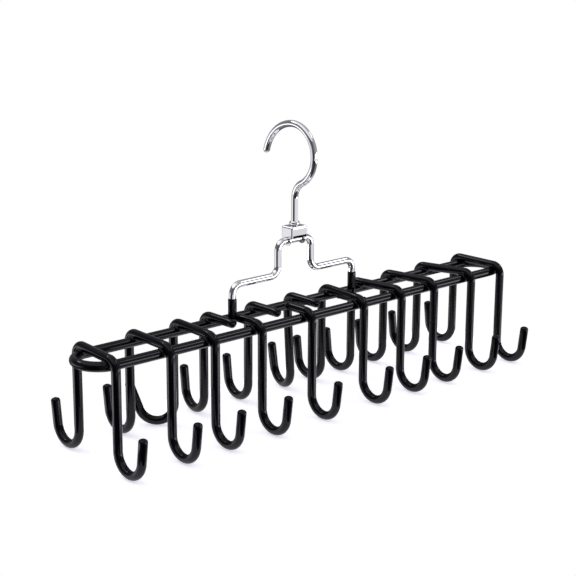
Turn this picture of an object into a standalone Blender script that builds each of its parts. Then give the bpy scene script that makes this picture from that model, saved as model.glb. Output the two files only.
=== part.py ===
"""Tank top hanger: a swivelling chrome hook and bail that carry a black coated wire rack with two rows of hooks.

The origin is where the top hook rests on a rod, at the inside of its crown. +Z is up, +X runs along the rack,
and the front row of hooks is on the -Y side.
"""
import math

import bmesh
import bpy
from mathutils import Vector

MM = 0.001

# Wires, the black ones with their coating
CHROME_WIRE = 5.2 * MM
RAIL_WIRE = 7.4 * MM
HOOK_WIRE = 6.8 * MM
WELD_GAP = 0.3 * MM
RUNNING_GAP = 0.3 * MM

# Top hook: a straight stem, a small bend, a round front and a wider back. Its crown lies behind the stem.
ROD_HOOK_RADIUS = 23.0 * MM
ROD_HOOK_REAR_RADIUS = 31.0 * MM
ROD_HOOK_END_ANGLE = 10.0
CROWN_OFFSET = 2.0 * MM
STEM_BEND_RADIUS = 6.0 * MM
STEM_LENGTH = 26.2 * MM

# Stem collar and the headed end of the stem
COLLAR_DIAMETER = 8.2 * MM
COLLAR_HEIGHT = 3.0 * MM
COLLAR_ROUNDING = 1.0 * MM
STEM_HEAD_DIAMETER = 7.8 * MM
STEM_HEAD_HEIGHT = 2.2 * MM

# Swivel saddle, folded from sheet
SADDLE_WIDTH = 16.2 * MM
SADDLE_DEPTH = 12.5 * MM
SADDLE_SHEET = 1.2 * MM
SADDLE_FOLD_RADIUS = 1.6 * MM
SADDLE_HEIGHT = 9.2 * MM
SKIRT_HEIGHT = 6.8 * MM
BAR_DROP = 10.8 * MM
TAB_SHEET = 1.3 * MM
TAB_START_ANGLE = 140.0
TAB_END_ANGLE = 330.0

# Bail, a stepped arch
BAIL_FOOT_SPACING = 123.8 * MM
BAIL_RISER_SPACING = 33.7 * MM
BAIL_SHOULDER_DROP = 25.6 * MM
BAIL_BAR_HEIGHT = 57.4 * MM
BAIL_CORNER_RADIUS = 7.5 * MM
BAIL_TOP_RADIUS = 6.5 * MM
SLEEVE_WALL = 0.35 * MM
SLEEVE_BELOW_BEND = 1.5 * MM

# Rack: two rails with round ends, and the hook wires across them. Each hook wire's bar sinks into its weld on
# the rail, so it has a seat cut for the rail in its underside.
BAR_RISE = 5.4 * MM
RACK_SPAN = 401.8 * MM
RACK_CENTRE_OFFSET = 14.5 * MM
RAIL_SPACING = 35.6 * MM
LOOP_END_INSET = 5.3 * MM
HOOK_DROP = 72.5 * MM
LEG_OVERHANG = 7.9 * MM
LEG_BEND_RADIUS = 7.5 * MM
CURL_RADIUS = 13.6 * MM
CURL_LEAN_ANGLE = 7.0
TIP_HEIGHT = 30.8 * MM

# Where the double hook wires cross each rail, as shares of the rack's span from its middle. One more crosses
# beside the bail's right foot, at these distances from it.
FRONT_WIRE_SHARES = (-0.5, -0.383, -0.284, 0.196, 0.292, 0.406, 0.498)
REAR_WIRE_SHARES = (-0.492, -0.379, -0.279, 0.182, 0.277, 0.380, 0.496)
FOOT_WIRE_FRONT_OFFSET = 11.2 * MM
FOOT_WIRE_REAR_OFFSET = 8.0 * MM

# How far each double wire's rear curl is bent round its leg, from the left
REAR_CURL_TWIST_ANGLES = (0.0, 0.0, 45.0, 0.0, 0.0, 0.0, 0.0, 0.0)

# Single hook wires, each on one rail. The first of each row stands beside the bail's left foot. The rear ones'
# curls are bent round their legs too, the other way.
FRONT_SINGLE_SHARE = -0.0475
REAR_SINGLE_SHARES = (-0.097, 0.003)
REAR_SINGLE_TWIST_ANGLES = (-7.0, -4.5, -12.5)
FRONT_SINGLE_BAR_END = 3.0 * MM
REAR_SINGLE_BAR_END = -10.5 * MM
LAST_SINGLE_LEAN = 4.6 * MM

# Resolution of the round forms
BLACK_WIRE_SIDES = 8
CHROME_WIRE_SIDES = 12
CURL_STEPS = 12
BEND_STEPS = 5
LOOP_END_STEPS = 14
ROD_HOOK_STEPS = 18
TURNED_STEPS = 24
HEAD_EDGE_SHARE = 0.85

# Wire ends: a rounded rim round a flatter face
END_ANGLES = (0.0, 35.0, 62.0, 84.0)
END_DEPTH_SHARE = 0.6
END_SQUARENESS = 0.55
CUT_OVERRUN = 2.0 * MM
MERGE_DISTANCE = 0.0001 * MM

# Heights, all measured from the rod seat at the crown of the top hook
CROWN_HEIGHT = CHROME_WIRE / 2
HOOK_CENTRE_HEIGHT = CROWN_HEIGHT - ROD_HOOK_RADIUS
STEM_BEND_RISE = math.sqrt((ROD_HOOK_RADIUS + STEM_BEND_RADIUS) ** 2 - (STEM_BEND_RADIUS + CROWN_OFFSET) ** 2)
STEM_TOP_HEIGHT = HOOK_CENTRE_HEIGHT - STEM_BEND_RISE
SADDLE_TOP_HEIGHT = STEM_TOP_HEIGHT - STEM_LENGTH
BAR_HEIGHT = SADDLE_TOP_HEIGHT - BAR_DROP
RAIL_HEIGHT = BAR_HEIGHT - BAIL_BAR_HEIGHT
CROSSBAR_HEIGHT = RAIL_HEIGHT + BAR_RISE

# Sleeves on the bail's feet
SLEEVE_BORE_RADIUS = CHROME_WIRE / 2 + WELD_GAP
SLEEVE_RADIUS = SLEEVE_BORE_RADIUS + SLEEVE_WALL


def clear_scene():
    """Empties the scene."""
    for item in list(bpy.data.objects):
        bpy.data.objects.remove(item, do_unlink=True)


def make_material(name, colour, roughness, metallic):
    """A plain surface of one colour."""
    material = bpy.data.materials.new(name)
    material.use_nodes = True
    shader = material.node_tree.nodes["Principled BSDF"]
    shader.inputs["Base Color"].default_value = (*colour, 1.0)
    shader.inputs["Roughness"].default_value = roughness
    shader.inputs["Metallic"].default_value = metallic
    return material


def chrome(name):
    """Bright chromium plate."""
    return make_material(name, (0.86, 0.87, 0.89), 0.08, 1.0)


def black_coating(name):
    """Glossy black dipped plastic."""
    return make_material(name, (0.012, 0.012, 0.013), 0.22, 0.0)


def arc(centre, radius, start, end, steps):
    """Points on an arc in a plane, from one angle to another in degrees, both ends included."""
    points = []
    for step in range(steps + 1):
        angle = math.radians(start + (end - start) * step / steps)
        points.append((centre[0] + radius * math.cos(angle), centre[1] + radius * math.sin(angle)))
    return points


def rounded_end(point, direction, diameter):
    """Rings that close a wire whose face is at a point, looking in the direction that it runs."""
    depth = diameter / 2 * END_DEPTH_SHARE
    rings = []
    for degrees in END_ANGLES:
        angle = math.radians(degrees)
        rings.append((point + direction * (depth * (math.sin(angle) - 1)), math.cos(angle) ** END_SQUARENESS))
    return rings


def with_rounded_ends(points, diameter, at_start=True, at_end=True):
    """Rings of a wire along points, its ends rounded off within its length."""
    rings = [(point, 1.0) for point in points]
    if at_end:
        direction = (points[-1] - points[-2]).normalized()
        rings = rings[:-1] + rounded_end(points[-1], direction, diameter)
    if at_start:
        direction = (points[0] - points[1]).normalized()
        rings = rounded_end(points[0], direction, diameter)[::-1] + rings[1:]
    return rings


def directions_across(points, closed):
    """Two directions square to a path at each of its points, carried along it without twist."""
    tangents = []
    for place, point in enumerate(points):
        before = points[place - 1] if closed or place else point
        after = points[(place + 1) % len(points)] if closed or place + 1 < len(points) else point
        tangents.append((after - before).normalized())
    side = tangents[0].orthogonal().normalized()
    pairs = []
    for place, tangent in enumerate(tangents):
        if place:
            side = tangents[place - 1].rotation_difference(tangent) @ side
        side = (side - tangent * side.dot(tangent)).normalized()
        pairs.append((side, tangent.cross(side)))
    return pairs


def make_wire(name, rings, diameter, material, sides, closed=False):
    """A round wire through rings, each a place and a share of the wire's radius."""
    mesh = bpy.data.meshes.new(name)
    form = bmesh.new()
    loops = []
    pairs = directions_across([point for point, share in rings], closed)
    for (point, share), (side, up) in zip(rings, pairs):
        radius = diameter / 2 * share
        angles = [math.tau * step / sides for step in range(sides)]
        loops.append([form.verts.new(point + (side * math.cos(angle) + up * math.sin(angle)) * radius)
                      for angle in angles])
    for place, loop in enumerate(loops[1:] + loops[:1] if closed else loops[1:]):
        before = loops[place]
        for step in range(sides):
            after = (step + 1) % sides
            form.faces.new((before[step], before[after], loop[after], loop[step]))
    if not closed:
        form.faces.new(loops[0][::-1])
        form.faces.new(loops[-1])
    bmesh.ops.recalc_face_normals(form, faces=form.faces)
    form.to_mesh(mesh)
    form.free()
    mesh.materials.append(material)
    mesh.shade_smooth()
    wire = bpy.data.objects.new(name, mesh)
    bpy.context.collection.objects.link(wire)
    return wire


def make_turned(name, outline, material):
    """A ring turned about Z from a closed outline of (radius, height) points."""
    mesh = bpy.data.meshes.new(name)
    form = bmesh.new()
    corners = [form.verts.new((radius, 0.0, height)) for radius, height in outline]
    edges = [form.edges.new((corner, corners[place - 1])) for place, corner in enumerate(corners)]
    bmesh.ops.spin(form, geom=corners + edges, cent=(0, 0, 0), axis=(0, 0, 1), angle=math.tau, steps=TURNED_STEPS,
                   use_merge=True)
    bmesh.ops.remove_doubles(form, verts=form.verts, dist=MERGE_DISTANCE)
    bmesh.ops.recalc_face_normals(form, faces=form.faces)
    form.to_mesh(mesh)
    form.free()
    mesh.materials.append(material)
    mesh.shade_smooth()
    mesh.set_sharp_from_angle(angle=math.radians(40))
    turned = bpy.data.objects.new(name, mesh)
    bpy.context.collection.objects.link(turned)
    return turned


def rounded_outline(inner, outer, low, high, rounding, steps=3):
    """A ring's outline whose two outer corners are rounded off."""
    lower = arc((outer - rounding, low + rounding), rounding, -90, 0, steps)
    upper = arc((outer - rounding, high - rounding), rounding, 0, 90, steps)
    return [(inner, low)] + lower + upper + [(inner, high)]


def make_box(name, low, high, bevel=0.0):
    """A box between two corners, whose edges are rounded, all but those of its floor."""
    mesh = bpy.data.meshes.new(name)
    form = bmesh.new()
    bmesh.ops.create_cube(form, size=1.0)
    size = [high[axis] - low[axis] for axis in range(3)]
    centre = [(high[axis] + low[axis]) / 2 for axis in range(3)]
    bmesh.ops.scale(form, vec=size, verts=form.verts)
    bmesh.ops.translate(form, vec=centre, verts=form.verts)
    if bevel:
        rounded = [edge for edge in form.edges if max(vert.co.z for vert in edge.verts) > centre[2]]
        bmesh.ops.bevel(form, geom=rounded, offset=bevel, segments=3, profile=0.5, affect="EDGES")
    form.to_mesh(mesh)
    form.free()
    box = bpy.data.objects.new(name, mesh)
    bpy.context.collection.objects.link(box)
    return box


def make_plate_along_x(name, outline, low_x, high_x):
    """A flat plate with an outline of (y, z) points, as thick as the distance along X."""
    mesh = bpy.data.meshes.new(name)
    form = bmesh.new()
    face = form.faces.new([form.verts.new((low_x, y, z)) for y, z in outline])
    grown = bmesh.ops.extrude_face_region(form, geom=[face])
    moved = [item for item in grown["geom"] if isinstance(item, bmesh.types.BMVert)]
    bmesh.ops.translate(form, vec=(high_x - low_x, 0, 0), verts=moved)
    bmesh.ops.recalc_face_normals(form, faces=form.faces)
    form.to_mesh(mesh)
    form.free()
    plate = bpy.data.objects.new(name, mesh)
    bpy.context.collection.objects.link(plate)
    return plate


def make_cylinder(name, radius, centre, length, along_x=False):
    """A cylinder about Z, or about X."""
    mesh = bpy.data.meshes.new(name)
    form = bmesh.new()
    bmesh.ops.create_cone(form, cap_ends=True, segments=TURNED_STEPS, radius1=radius, radius2=radius, depth=length)
    form.to_mesh(mesh)
    form.free()
    cylinder = bpy.data.objects.new(name, mesh)
    cylinder.location = centre
    if along_x:
        cylinder.rotation_euler = (0, math.pi / 2, 0)
    bpy.context.collection.objects.link(cylinder)
    return cylinder


def combine(target, other, operation):
    """Adds a guide's form to a target, or cuts it away, and keeps the guide as a wire display beside it."""
    modifier = target.modifiers.new(other.name, "BOOLEAN")
    modifier.operation = operation
    modifier.solver = "EXACT"
    modifier.object = other
    other.parent = target
    other.hide_render = True
    other.display_type = "WIRE"


def cut_away(target, guide):
    """Cuts the form of a guide that several pieces share out of one of them."""
    modifier = target.modifiers.new(guide.name, "BOOLEAN")
    modifier.operation = "DIFFERENCE"
    modifier.solver = "EXACT"
    modifier.object = guide


def hang_on(child, pivot):
    """Hangs an object on an empty at a joint, where it stays in place."""
    child.parent = pivot
    child.matrix_parent_inverse = pivot.matrix_basis.inverted()


def make_pivot(name, place):
    """An empty at a place that others hang on."""
    pivot = bpy.data.objects.new(name, None)
    pivot.location = place
    pivot.empty_display_size = CHROME_WIRE
    bpy.context.collection.objects.link(pivot)
    return pivot


def make_top_hook():
    """The top hook: from the stem's head up the stem, round the small bend and over the rod."""
    head_top = SADDLE_TOP_HEIGHT - SADDLE_SHEET - RUNNING_GAP
    head_low = head_top - STEM_HEAD_HEIGHT
    head_share = STEM_HEAD_DIAMETER / CHROME_WIRE
    head_edge = STEM_HEAD_HEIGHT / 4
    rings = [
        (Vector((0, 0, head_low)), head_share * HEAD_EDGE_SHARE),
        (Vector((0, 0, head_low + head_edge)), head_share),
        (Vector((0, 0, head_top - head_edge)), head_share),
        (Vector((0, 0, head_top)), head_share * HEAD_EDGE_SHARE),
        (Vector((0, 0, head_top + RUNNING_GAP / 4)), 1.0),
    ]
    bend_centre = (-STEM_BEND_RADIUS, STEM_TOP_HEIGHT)
    front_centre = (CROWN_OFFSET, HOOK_CENTRE_HEIGHT)
    rear_centre = (CROWN_OFFSET, CROWN_HEIGHT - ROD_HOOK_REAR_RADIUS)
    meeting = math.degrees(math.atan2(STEM_BEND_RISE, STEM_BEND_RADIUS + CROWN_OFFSET))
    bend = arc(bend_centre, STEM_BEND_RADIUS, 0, meeting, BEND_STEPS)
    front = arc(front_centre, ROD_HOOK_RADIUS, meeting + 180, 90, ROD_HOOK_STEPS)
    rear = arc(rear_centre, ROD_HOOK_REAR_RADIUS, 90, ROD_HOOK_END_ANGLE, ROD_HOOK_STEPS // 2)
    path = [Vector((0, y, z)) for y, z in bend + front[1:] + rear[1:]]
    rings += with_rounded_ends(path, CHROME_WIRE, at_start=False)
    return make_wire("top_hook", rings, CHROME_WIRE, chrome("hook_chrome"), CHROME_WIRE_SIDES)


def make_stem_collar():
    """The round bead that is pressed on the stem above the saddle."""
    bore = CHROME_WIRE / 2 + WELD_GAP
    low = SADDLE_TOP_HEIGHT + RUNNING_GAP
    outline = rounded_outline(bore, COLLAR_DIAMETER / 2, low, low + COLLAR_HEIGHT, COLLAR_ROUNDING)
    return make_turned("stem_collar", outline, chrome("collar_chrome"))


def make_swivel_saddle():
    """The saddle: a folded cap with a hole for the stem, whose cheeks end in tabs curled round the bail's bar."""
    half_width = SADDLE_WIDTH / 2
    half_depth = SADDLE_DEPTH / 2
    cheek_low = SADDLE_TOP_HEIGHT - SADDLE_HEIGHT
    skirt_low = SADDLE_TOP_HEIGHT - SKIRT_HEIGHT
    saddle = make_box("swivel_saddle", (-half_width, -half_depth, cheek_low),
                      (half_width, half_depth, SADDLE_TOP_HEIGHT), SADDLE_FOLD_RADIUS)
    inner_width = half_width - SADDLE_SHEET
    inner_depth = half_depth - SADDLE_SHEET
    hollow = make_box("saddle_hollow", (-inner_width, -inner_depth, cheek_low - CUT_OVERRUN),
                      (inner_width, inner_depth, SADDLE_TOP_HEIGHT - SADDLE_SHEET),
                      SADDLE_FOLD_RADIUS - SADDLE_SHEET)
    combine(saddle, hollow, "DIFFERENCE")
    window = make_box("saddle_window", (-inner_width, -half_depth - CUT_OVERRUN, cheek_low - CUT_OVERRUN),
                      (inner_width, half_depth + CUT_OVERRUN, skirt_low))
    combine(saddle, window, "DIFFERENCE")
    bar_hole_radius = CHROME_WIRE / 2 + RUNNING_GAP
    tab_radius = bar_hole_radius + TAB_SHEET
    centre = (0.0, BAR_HEIGHT)
    tab = arc(centre, tab_radius, TAB_START_ANGLE, TAB_END_ANGLE, CURL_STEPS)
    tab += arc(centre, bar_hole_radius, TAB_END_ANGLE, TAB_START_ANGLE, CURL_STEPS)
    for side, name in ((-1, "left_tab"), (1, "right_tab")):
        outer, inner = side * half_width, side * inner_width
        combine(saddle, make_plate_along_x(name, tab, min(outer, inner), max(outer, inner)), "UNION")
    bar_hole = make_cylinder("bar_hole", bar_hole_radius, (0, 0, BAR_HEIGHT), SADDLE_WIDTH + CUT_OVERRUN,
                             along_x=True)
    combine(saddle, bar_hole, "DIFFERENCE")
    stem_hole = make_cylinder("stem_hole", CHROME_WIRE / 2 + RUNNING_GAP, (0, 0, SADDLE_TOP_HEIGHT),
                              SADDLE_SHEET * 2 + CUT_OVERRUN)
    combine(saddle, stem_hole, "DIFFERENCE")
    saddle.data.materials.append(chrome("saddle_chrome"))
    return saddle


def bail_seats():
    """Height of each foot's end: level with the bars beside it on the left, on the foot rung on the right."""
    left = CROSSBAR_HEIGHT - HOOK_WIRE / 2
    right = RAIL_HEIGHT + HOOK_WIRE / 2 + WELD_GAP
    return left, right


def make_bail():
    """The bail: foot, shoulder, riser, top bar, riser, shoulder and foot of one bent wire."""
    left_seat, right_seat = bail_seats()
    foot = BAIL_FOOT_SPACING / 2
    riser = BAIL_RISER_SPACING / 2
    shoulder = BAR_HEIGHT - BAIL_SHOULDER_DROP
    corner, top = BAIL_CORNER_RADIUS, BAIL_TOP_RADIUS
    right_half = (arc((riser - top, BAR_HEIGHT - top), top, 90, 0, BEND_STEPS)
                  + arc((riser + corner, shoulder + corner), corner, 180, 270, BEND_STEPS)
                  + arc((foot - corner, shoulder - corner), corner, 90, 0, BEND_STEPS)
                  + [(foot, right_seat)])
    left_half = [(-x, z) for x, z in right_half[:-1]] + [(-foot, left_seat)]
    path = [Vector((x, 0, z)) for x, z in left_half[::-1] + right_half]
    rings = [(point, 1.0) for point in path]
    return make_wire("bail", rings, CHROME_WIRE, chrome("bail_chrome"), CHROME_WIRE_SIDES)


def make_bail_sleeves():
    """The coated lower end of each foot of the bail."""
    high = BAR_HEIGHT - BAIL_SHOULDER_DROP - BAIL_CORNER_RADIUS - SLEEVE_BELOW_BEND
    sleeves = []
    for side, name, seat in zip((-1, 1), ("bail_sleeve_left", "bail_sleeve_right"), bail_seats()):
        outline = [(SLEEVE_BORE_RADIUS, seat), (SLEEVE_RADIUS, seat), (SLEEVE_RADIUS, high - SLEEVE_WALL),
                   (SLEEVE_RADIUS - SLEEVE_WALL / 2, high), (SLEEVE_BORE_RADIUS, high)]
        sleeve = make_turned(name, outline, black_coating(name + "_coating"))
        sleeve.location = (side * BAIL_FOOT_SPACING / 2, 0, 0)
        sleeves.append(sleeve)
    return sleeves


def rack_place(share):
    """Place along X of a share of the rack's span."""
    return RACK_CENTRE_OFFSET + share * RACK_SPAN


def make_frame_loop(name="frame_loop", diameter=RAIL_WIRE):
    """The frame loop: two rails joined by half rounds at both ends."""
    radius = RAIL_SPACING / 2
    left = rack_place(-0.5) + LOOP_END_INSET
    right = rack_place(0.5) - LOOP_END_INSET
    outline = arc((right, 0.0), radius, -90, 90, LOOP_END_STEPS) + arc((left, 0.0), radius, 90, 270, LOOP_END_STEPS)
    rings = [(Vector((x, y, RAIL_HEIGHT)), 1.0) for x, y in outline]
    return make_wire(name, rings, diameter, black_coating(name + "_coating"), BLACK_WIRE_SIDES, closed=True)


def make_rail_room():
    """The room that the frame loop takes with its gap, kept as a wire display to cut the bars' seats."""
    room = make_frame_loop("rail_room", RAIL_WIRE + 2 * WELD_GAP)
    room.hide_render = True
    room.display_type = "WIRE"
    return room


def make_foot_rung():
    """The short wire between the rails that the bail's right foot stands on."""
    reach = RAIL_SPACING / 2 - RAIL_WIRE / 2 - WELD_GAP
    place = BAIL_FOOT_SPACING / 2
    rings = [(Vector((place, y, RAIL_HEIGHT)), 1.0) for y in (-reach, reach)]
    return make_wire("foot_rung", rings, HOOK_WIRE, black_coating("rung_coating"), BLACK_WIRE_SIDES)


def hook_half(place, side, twist=0.0, sideways=0.0):
    """Points of half a hook wire, from its bend over the rail down the leg and round to the tip.

    side is -1 in front and 1 behind. twist turns the curl about its leg, in degrees, and sideways is how far
    the leg leans along the rack on its way down."""
    leg = RAIL_SPACING / 2 + LEG_OVERHANG
    bend_centre = (leg - LEG_BEND_RADIUS, CROSSBAR_HEIGHT - LEG_BEND_RADIUS)
    curl_centre = (CURL_RADIUS, RAIL_HEIGHT - HOOK_DROP + CURL_RADIUS)
    points = [Vector((place, side * out, up)) for out, up in arc(bend_centre, LEG_BEND_RADIUS, 90, 0, BEND_STEPS)]
    curl = arc(curl_centre, CURL_RADIUS, 180, 360 - CURL_LEAN_ANGLE, CURL_STEPS)
    lean = math.radians(CURL_LEAN_ANGLE)
    rise = RAIL_HEIGHT - HOOK_DROP + TIP_HEIGHT - curl[-1][1]
    curl.append((curl[-1][0] + rise * math.tan(lean), curl[-1][1] + rise))
    turn = math.radians(twist)
    for out, up in curl:
        points.append(Vector((place - out * math.sin(turn), side * (leg + out * math.cos(turn)), up)))
    for point in points:
        point.x += sideways * (CROSSBAR_HEIGHT - point.z) / HOOK_DROP
    return points


def make_hook_wire(name, path, rail_room):
    """A coated wire along a path, with both ends rounded and seats for the rails in the underside of its bar."""
    wire = make_wire(name, with_rounded_ends(path, HOOK_WIRE), HOOK_WIRE, black_coating(name + "_coating"),
                     BLACK_WIRE_SIDES)
    cut_away(wire, rail_room)
    return wire


def double_wire_places():
    """Where each double hook wire crosses the front and the rear rail, from the left."""
    foot = BAIL_FOOT_SPACING / 2
    places = [(foot - FOOT_WIRE_FRONT_OFFSET, foot - FOOT_WIRE_REAR_OFFSET)]
    for front_share, rear_share in zip(FRONT_WIRE_SHARES, REAR_WIRE_SHARES):
        places.append((rack_place(front_share), rack_place(rear_share)))
    return sorted(places)


def make_double_hook_wires(rail_room):
    """The wires that lie across both rails and hook down on both sides, numbered from the left."""
    wires = []
    for number, (places, twist) in enumerate(zip(double_wire_places(), REAR_CURL_TWIST_ANGLES), start=1):
        front_place, rear_place = places
        path = hook_half(front_place, -1)[::-1] + hook_half(rear_place, 1, twist)
        wires.append(make_hook_wire(f"hook_wire_{number}", path, rail_room))
    return wires


def make_single_hook_wires(rail_room):
    """The wires that are welded to one rail and hook down on its side only, numbered from the left."""
    foot = -BAIL_FOOT_SPACING / 2
    beside_foot = SLEEVE_RADIUS + WELD_GAP + HOOK_WIRE / 2
    rear_places = [foot - beside_foot] + [rack_place(share) for share in REAR_SINGLE_SHARES]
    front_places = [foot + beside_foot, rack_place(FRONT_SINGLE_SHARE)]
    wires = []
    for number, (place, twist) in enumerate(zip(rear_places, REAR_SINGLE_TWIST_ANGLES), start=1):
        sideways = LAST_SINGLE_LEAN if number == len(rear_places) else 0.0
        end = Vector((place, REAR_SINGLE_BAR_END, CROSSBAR_HEIGHT))
        path = [end] + hook_half(place, 1, twist, sideways)
        wires.append(make_hook_wire(f"rear_hook_wire_{number}", path, rail_room))
    for number, place in enumerate(front_places, start=1):
        end = Vector((place, FRONT_SINGLE_BAR_END, CROSSBAR_HEIGHT))
        path = [end] + hook_half(place, -1)
        wires.append(make_hook_wire(f"front_hook_wire_{number}", path, rail_room))
    return wires


def build():
    """Builds the hanger: the top hook stays still, the saddle turns on its stem and the rack swings in the saddle.

    Each piece is modelled about the stem's axis, which stands in front of the origin."""
    clear_scene()
    stem_axis = make_pivot("stem_axis", (0, -CROWN_OFFSET, 0))
    swivel_pivot = make_pivot("swivel_axis", (0, 0, SADDLE_TOP_HEIGHT))
    rack_pivot = make_pivot("rack_swing_axis", (0, 0, BAR_HEIGHT))
    swivel_pivot.parent = stem_axis
    hang_on(rack_pivot, swivel_pivot)
    for piece in (make_top_hook(), make_stem_collar()):
        piece.parent = stem_axis
    hang_on(make_swivel_saddle(), swivel_pivot)
    rail_room = make_rail_room()
    rack = [make_bail(), make_frame_loop(), rail_room, make_foot_rung()] + make_bail_sleeves()
    rack += make_double_hook_wires(rail_room) + make_single_hook_wires(rail_room)
    for piece in rack:
        hang_on(piece, rack_pivot)


build()
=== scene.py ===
"""Looks of the tank top hanger: finer wires and saddle, plated and coated surfaces, floor, light and camera.

Everything is in metres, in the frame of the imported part: +Z is up, +X runs along the rack, and the front row
of hooks is on the -Y side. Sizes that aren't read from the part are written in millimetres."""
import math

import bmesh
import bpy
from mathutils import Matrix, Vector


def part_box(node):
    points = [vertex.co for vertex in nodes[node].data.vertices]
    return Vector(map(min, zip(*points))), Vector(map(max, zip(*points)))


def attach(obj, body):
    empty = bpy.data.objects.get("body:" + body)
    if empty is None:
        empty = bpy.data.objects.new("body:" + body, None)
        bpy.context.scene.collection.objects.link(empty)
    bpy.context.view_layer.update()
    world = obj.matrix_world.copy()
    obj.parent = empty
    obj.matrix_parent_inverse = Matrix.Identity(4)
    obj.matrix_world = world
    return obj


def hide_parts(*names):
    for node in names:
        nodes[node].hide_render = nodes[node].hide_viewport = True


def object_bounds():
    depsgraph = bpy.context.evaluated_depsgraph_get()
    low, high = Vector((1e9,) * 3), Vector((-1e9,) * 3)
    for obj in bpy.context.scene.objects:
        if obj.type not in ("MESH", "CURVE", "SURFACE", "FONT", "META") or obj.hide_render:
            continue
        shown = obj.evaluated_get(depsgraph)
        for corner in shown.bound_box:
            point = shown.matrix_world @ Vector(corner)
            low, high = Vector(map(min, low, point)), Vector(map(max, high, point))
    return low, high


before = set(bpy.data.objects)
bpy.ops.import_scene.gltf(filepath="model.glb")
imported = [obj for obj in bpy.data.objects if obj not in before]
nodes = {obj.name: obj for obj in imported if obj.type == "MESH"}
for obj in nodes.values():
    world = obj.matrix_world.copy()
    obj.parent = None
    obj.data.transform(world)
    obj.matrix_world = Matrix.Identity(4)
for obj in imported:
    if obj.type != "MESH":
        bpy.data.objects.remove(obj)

MM = 0.001
cad_low, cad_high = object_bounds()

# Sizes of the part, as in its source
CHROME_WIRE = 5.2 * MM
RAIL_WIRE = 7.4 * MM
HOOK_WIRE = 6.8 * MM
WELD_GAP = 0.3 * MM
ROD_HOOK_RADIUS = 23.0 * MM
ROD_HOOK_REAR_RADIUS = 31.0 * MM
ROD_HOOK_END_ANGLE = 10.0
CROWN_OFFSET = 2.0 * MM
STEM_HEAD_DIAMETER = 7.8 * MM
STEM_HEAD_HEIGHT = 2.2 * MM
COLLAR_DIAMETER = 8.2 * MM
COLLAR_HEIGHT = 3.0 * MM
RUNNING_GAP = 0.3 * MM
SADDLE_WIDTH = 16.2 * MM
SADDLE_DEPTH = 12.5 * MM
SADDLE_SHEET = 1.2 * MM
SADDLE_FOLD_RADIUS = 1.6 * MM
SADDLE_HEIGHT = 9.2 * MM
SKIRT_HEIGHT = 6.8 * MM
BAR_DROP = 10.8 * MM
TAB_SHEET = 1.3 * MM
TAB_START_ANGLE = 140.0
TAB_END_ANGLE = 330.0
BAIL_FOOT_SPACING = 123.8 * MM
BAIL_RISER_SPACING = 33.7 * MM
BAIL_SHOULDER_DROP = 25.6 * MM
BAIL_BAR_HEIGHT = 57.4 * MM
BAIL_CORNER_RADIUS = 7.5 * MM
BAIL_TOP_RADIUS = 6.5 * MM
RAIL_SPACING = 35.6 * MM
HOOK_DROP = 72.5 * MM
LEG_OVERHANG = 7.9 * MM
LEG_BEND_RADIUS = 7.5 * MM
CURL_RADIUS = 13.6 * MM
CURL_LEAN_ANGLE = 7.0
TIP_HEIGHT = 30.8 * MM
BAR_RISE = 5.4 * MM

# The one leg that leans along the rack, and how far, as in the source
LEANING_WIRE = "rear_hook_wire_3"
LAST_SINGLE_LEAN = 4.6 * MM

# A wider bend over a shorter stem than in the source, as the photo shows
STEM_BEND_RADIUS = 14.0 * MM
STEM_LENGTH = 20.7 * MM

# Degrees by which rear curls are turned round their legs, as in the source, and opened, which is only done here
REAR_CURL_BENDS = {"hook_wire_3": (45.0, 13.0), "rear_hook_wire_1": (-7.0, 0.0), "rear_hook_wire_2": (-4.5, 0.0),
                   "rear_hook_wire_3": (-12.5, 0.0)}

# Dipped wire ends: rounding of the rim and its angles in degrees, rise of the middle and the shares of the flat's
# radius that it has rings at, and how many times the tip's depth the wire's own rings keep off
TIP_ROUNDING = 2.0 * MM
TIP_RIM_ANGLES = (0, 18, 36, 54, 70, 84)
TIP_CROWN = 0.45 * MM
TIP_CROWN_SHARES = (0.66, 0.33, 0.08)
TIP_MARGIN = 1.2

# Fillets of coating at the welds: size, how far along the wire they are looked for, the angle of a search step and
# how many rounds it takes to come level with the wire
FILLET_RADIUS = 1.2 * MM
FILLET_DEPTH = 1.2 * MM
FILLET_REACH = 16.0 * MM
FILLET_SEARCH_STEP = math.radians(4)
FILLET_SEARCH_ROUNDS = 3

# A bar's crossing with a rail: how far below the bar's height and how far beside the rail a point may lie
CROSSING_DROP = 1.0 * MM
CROSSING_SLACK = 0.7 * MM

# Sleeves: how much they are shorter than in the part, the gap round the foot, the wall's rings as shares of the
# height, and the rim's rings as millimetres in from the wall and down from the top
SLEEVE_SHORTFALL = 1.0 * MM
SLEEVE_BORE_GAP = 0.02 * MM
SLEEVE_WALL_SHARES = (0.0, 0.3, 0.6)
SLEEVE_RIM = ((0.0, 1.4), (0.08, 0.8), (0.24, 0.35), (0.42, 0.08))

# Flared ends of the foot rung: how much wider, and the places of the rings from the end inwards
RUNG_FLARE = 0.3 * MM
RUNG_FLARE_STEPS = (0.0, 0.4 * MM, 0.9 * MM, 1.6 * MM)

# Rounded edge of the stem's head, as shares of the edge's height and the head's radius
STEM_HEAD_EDGE = ((0.0, 0.8), (0.5, 0.95), (1.0, 1.0))

# Rounding of the saddle's sheet edges, and the least angles at which edges are rounded or shaded sharp
SADDLE_EDGE_WIDTH = 0.16 * MM
SADDLE_EDGE_ANGLE = math.radians(40)
SADDLE_SHARP_ANGLE = math.radians(35)
WIRE_SHARP_ANGLE = math.radians(50)

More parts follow.
